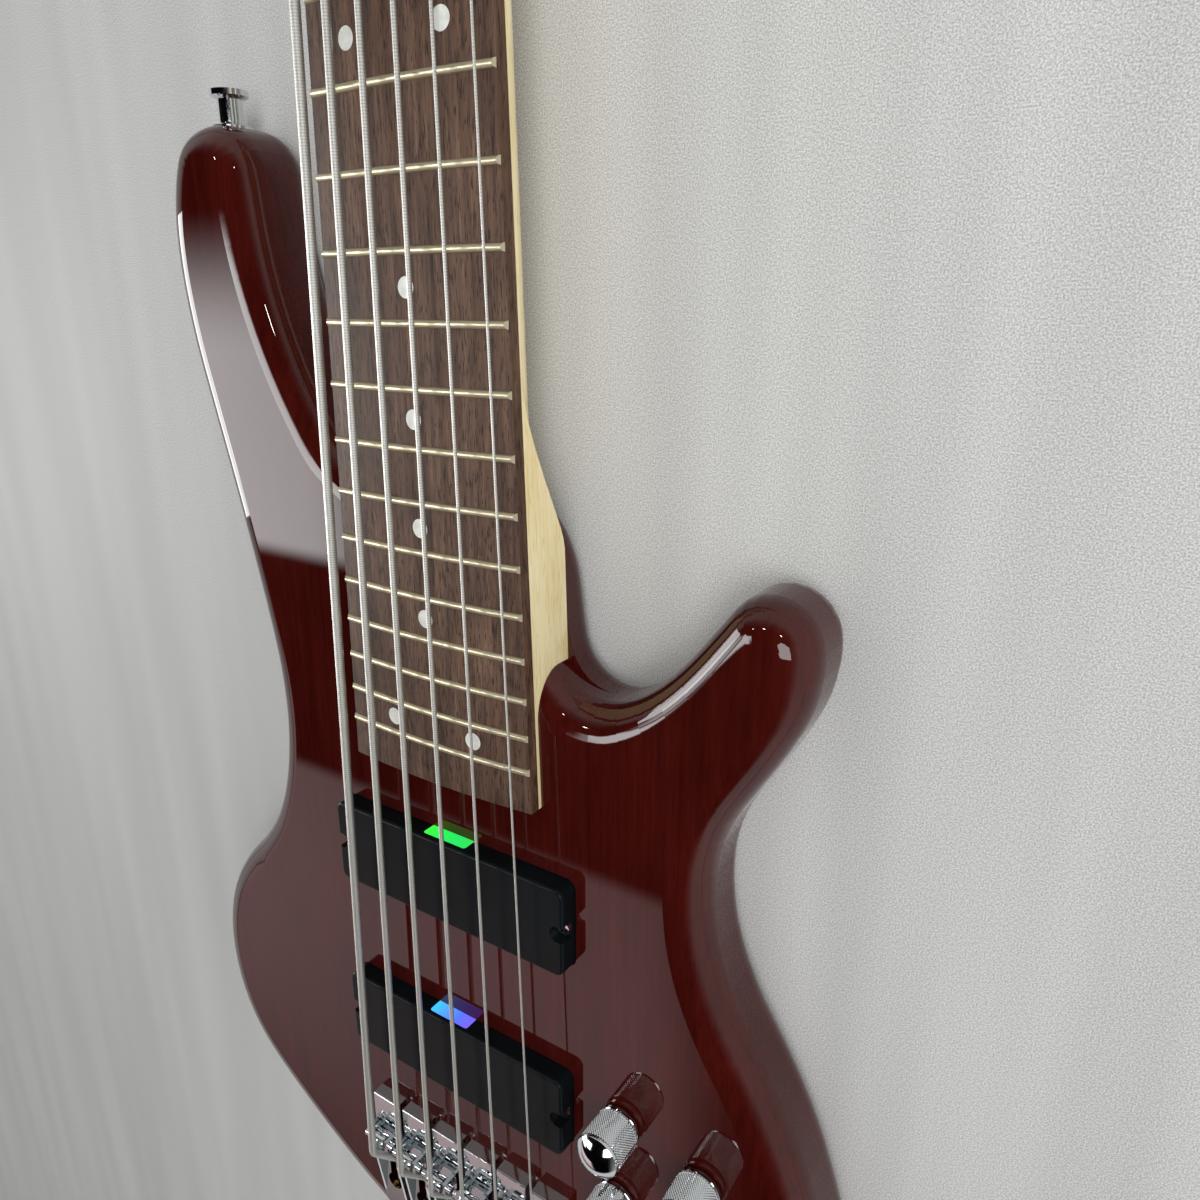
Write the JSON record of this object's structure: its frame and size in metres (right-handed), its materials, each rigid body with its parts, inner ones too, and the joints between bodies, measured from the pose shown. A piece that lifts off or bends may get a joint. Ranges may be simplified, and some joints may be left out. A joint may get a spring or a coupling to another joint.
{
  "type": "electric bass guitar",
  "caption": "Solid-body double-cutaway electric bass guitar with bolt-on neck, soapbar pickups, single-string roller bridges, knurled knobs and worm-geared tuners.",
  "frame": {"origin": "on the body's flat back, on the neck's centreline, straight under the nominal saddle line", "axes": "+X to the treble side, +Y along the neck to the headstock, +Z out of the body's front"},
  "size_m": [0.3302, 1.1332, 0.057],
  "materials": {
    "gloss_mahogany": "deep red-brown stain under a mirror gloss lacquer",
    "satin_maple": "pale maple, satin lacquer",
    "oiled_rosewood": "dark brown streaked, oiled",
    "nickel_silver": "polished fret wire",
    "pearl_inlay": "pearl",
    "bone_nut": "polished black synthetic bone",
    "plain_steel": "plain steel",
    "black_plastic": "matte black moulding",
    "steel_screws": "nickel-plated steel",
    "chrome_plate": "mirror chrome plate",
    "pot_metal": "pressed can",
    "coil_and_magnet": "copper coil around a bar magnet",
    "brass_ball": "turned brass",
    "wound_string": "nickel round wound"
  },
  "bodies": {
    "instrument": {"body": "gloss_mahogany", "bridge_bases": "chrome_plate", "bridge_screws": "steel_screws", "control_cover": "black_plastic", "fingerboard": "oiled_rosewood", "frets": "nickel_silver", "jack_nut": "chrome_plate", "neck": "satin_maple", "neck_plate": "chrome_plate", "neck_screws": "steel_screws", "nut": "bone_nut", "output_jack": "chrome_plate", "position_dots": "pearl_inlay", "pot_nuts": "plain_steel", "potentiometers": "pot_metal", "side_dots": "pearl_inlay", "small_screws": "steel_screws", "strap_button_screws": "steel_screws", "strap_buttons": "chrome_plate", "string_a": "wound_string", "string_ball_ends": "brass_ball", "string_d": "wound_string", "string_e": "wound_string", "string_g": "wound_string", "string_high_c": "wound_string", "string_low_b": "wound_string", "truss_rod": "plain_steel", "truss_rod_cover": "black_plastic", "tuner_bushings": "chrome_plate", "tuner_housings": "chrome_plate"},
    "neck_volume_knob": {"neck_volume_knob": "chrome_plate"},
    "bridge_volume_knob": {"bridge_volume_knob": "chrome_plate"},
    "neck_tone_knob": {"neck_tone_knob": "chrome_plate"},
    "bridge_tone_knob": {"bridge_tone_knob": "chrome_plate"},
    "bridge_saddle_1": {"bridge_saddle_1": "chrome_plate"},
    "bridge_saddle_2": {"bridge_saddle_2": "chrome_plate"},
    "bridge_saddle_3": {"bridge_saddle_3": "chrome_plate"},
    "bridge_saddle_4": {"bridge_saddle_4": "chrome_plate"},
    "bridge_saddle_5": {"bridge_saddle_5": "chrome_plate"},
    "bridge_saddle_6": {"bridge_saddle_6": "chrome_plate"},
    "neck_pickup": {"neck_pickup_cover": "black_plastic", "neck_pickup_core": "coil_and_magnet", "neck_pickup_screws": "chrome_plate"},
    "bridge_pickup": {"bridge_pickup_cover": "black_plastic", "bridge_pickup_core": "coil_and_magnet", "bridge_pickup_screws": "chrome_plate"},
    "tuner_key_1": {"tuner_key_1": "chrome_plate"},
    "tuner_post_1": {"tuner_post_1": "chrome_plate"},
    "tuner_key_2": {"tuner_key_2": "chrome_plate"},
    "tuner_post_2": {"tuner_post_2": "chrome_plate"},
    "tuner_key_3": {"tuner_key_3": "chrome_plate"},
    "tuner_post_3": {"tuner_post_3": "chrome_plate"},
    "tuner_key_4": {"tuner_key_4": "chrome_plate"},
    "tuner_post_4": {"tuner_post_4": "chrome_plate"},
    "tuner_key_5": {"tuner_key_5": "chrome_plate"},
    "tuner_post_5": {"tuner_post_5": "chrome_plate"},
    "tuner_key_6": {"tuner_key_6": "chrome_plate"},
    "tuner_post_6": {"tuner_post_6": "chrome_plate"},
    "truss_rod_nut": {"truss_rod_nut": "plain_steel"}
  },
  "joints": [
    {"name": "neck_volume_knob_turn", "type": "hinge", "parent": "instrument", "child": "neck_volume_knob", "pos_m": [0.0776, 0.0772, 0.036], "axis": [0, 0, 1], "range_deg": [-150, 150]},
    {"name": "bridge_volume_knob_turn", "type": "hinge", "parent": "instrument", "child": "bridge_volume_knob", "pos_m": [0.0763, 0.0396, 0.036], "axis": [0, 0, 1], "range_deg": [-150, 150]},
    {"name": "neck_tone_knob_turn", "type": "hinge", "parent": "instrument", "child": "neck_tone_knob", "pos_m": [0.11145, 0.0685, 0.036], "axis": [0, 0, 1], "range_deg": [-150, 150]},
    {"name": "bridge_tone_knob_turn", "type": "hinge", "parent": "instrument", "child": "bridge_tone_knob", "pos_m": [0.11015, 0.0309, 0.036], "axis": [0, 0, 1], "range_deg": [-150, 150]},
    {"name": "bridge_saddle_1_slide", "type": "slide", "parent": "instrument", "child": "bridge_saddle_1", "axis": [0, 1, 0], "range_m": [-0.0015, 0.0015]},
    {"name": "bridge_saddle_2_slide", "type": "slide", "parent": "instrument", "child": "bridge_saddle_2", "axis": [0, 1, 0], "range_m": [-0.0015, 0.0015]},
    {"name": "bridge_saddle_3_slide", "type": "slide", "parent": "instrument", "child": "bridge_saddle_3", "axis": [0, 1, 0], "range_m": [-0.0015, 0.0015]},
    {"name": "bridge_saddle_4_slide", "type": "slide", "parent": "instrument", "child": "bridge_saddle_4", "axis": [0, 1, 0], "range_m": [-0.0015, 0.0015]},
    {"name": "bridge_saddle_5_slide", "type": "slide", "parent": "instrument", "child": "bridge_saddle_5", "axis": [0, 1, 0], "range_m": [-0.0015, 0.0015]},
    {"name": "bridge_saddle_6_slide", "type": "slide", "parent": "instrument", "child": "bridge_saddle_6", "axis": [0, 1, 0], "range_m": [-0.0015, 0.0015]},
    {"name": "neck_pickup_height", "type": "slide", "parent": "instrument", "child": "neck_pickup", "axis": [0, 0, 1], "range_m": [-0.002, 0.002]},
    {"name": "bridge_pickup_height", "type": "slide", "parent": "instrument", "child": "bridge_pickup", "axis": [0, 0, 1], "range_m": [-0.002, 0.002]},
    {"name": "tuner_key_1_turn", "type": "hinge", "parent": "instrument", "child": "tuner_key_1", "pos_m": [-0.033, 0.90259, 0.012], "axis": [1, 0, 0], "continuous": true},
    {"name": "tuner_post_1_turn", "type": "hinge", "parent": "instrument", "child": "tuner_post_1", "pos_m": [-0.033, 0.9116, 0.012], "axis": [0, 0, 1], "continuous": true},
    {"name": "tuner_key_2_turn", "type": "hinge", "parent": "instrument", "child": "tuner_key_2", "pos_m": [-0.033, 0.94859, 0.012], "axis": [1, 0, 0], "continuous": true},
    {"name": "tuner_post_2_turn", "type": "hinge", "parent": "instrument", "child": "tuner_post_2", "pos_m": [-0.033, 0.9576, 0.012], "axis": [0, 0, 1], "continuous": true},
    {"name": "tuner_key_3_turn", "type": "hinge", "parent": "instrument", "child": "tuner_key_3", "pos_m": [-0.033, 0.99459, 0.012], "axis": [1, 0, 0], "continuous": true},
    {"name": "tuner_post_3_turn", "type": "hinge", "parent": "instrument", "child": "tuner_post_3", "pos_m": [-0.033, 1.0036, 0.012], "axis": [0, 0, 1], "continuous": true},
    {"name": "tuner_key_4_turn", "type": "hinge", "parent": "instrument", "child": "tuner_key_4", "pos_m": [0.033, 0.99459, 0.012], "axis": [1, 0, 0], "continuous": true},
    {"name": "tuner_post_4_turn", "type": "hinge", "parent": "instrument", "child": "tuner_post_4", "pos_m": [0.033, 1.0036, 0.012], "axis": [0, 0, 1], "continuous": true},
    {"name": "tuner_key_5_turn", "type": "hinge", "parent": "instrument", "child": "tuner_key_5", "pos_m": [0.033, 0.94859, 0.012], "axis": [1, 0, 0], "continuous": true},
    {"name": "tuner_post_5_turn", "type": "hinge", "parent": "instrument", "child": "tuner_post_5", "pos_m": [0.033, 0.9576, 0.012], "axis": [0, 0, 1], "continuous": true},
    {"name": "tuner_key_6_turn", "type": "hinge", "parent": "instrument", "child": "tuner_key_6", "pos_m": [0.033, 0.90259, 0.012], "axis": [1, 0, 0], "continuous": true},
    {"name": "tuner_post_6_turn", "type": "hinge", "parent": "instrument", "child": "tuner_post_6", "pos_m": [0.033, 0.9116, 0.012], "axis": [0, 0, 1], "continuous": true},
    {"name": "truss_rod_nut_turn", "type": "hinge", "parent": "instrument", "child": "truss_rod_nut", "pos_m": [0, 0.89443, 0.0279], "axis": [0, 1, 0], "range_deg": [-180, 180]}
  ],
  "couplings": [
    {"joint": "tuner_post_1_turn", "follows": "tuner_key_1_turn", "ratio": -0.0625},
    {"joint": "tuner_post_2_turn", "follows": "tuner_key_2_turn", "ratio": -0.0625},
    {"joint": "tuner_post_3_turn", "follows": "tuner_key_3_turn", "ratio": -0.0625},
    {"joint": "tuner_post_4_turn", "follows": "tuner_key_4_turn", "ratio": -0.0625},
    {"joint": "tuner_post_5_turn", "follows": "tuner_key_5_turn", "ratio": -0.0625},
    {"joint": "tuner_post_6_turn", "follows": "tuner_key_6_turn", "ratio": -0.0625}
  ]
}
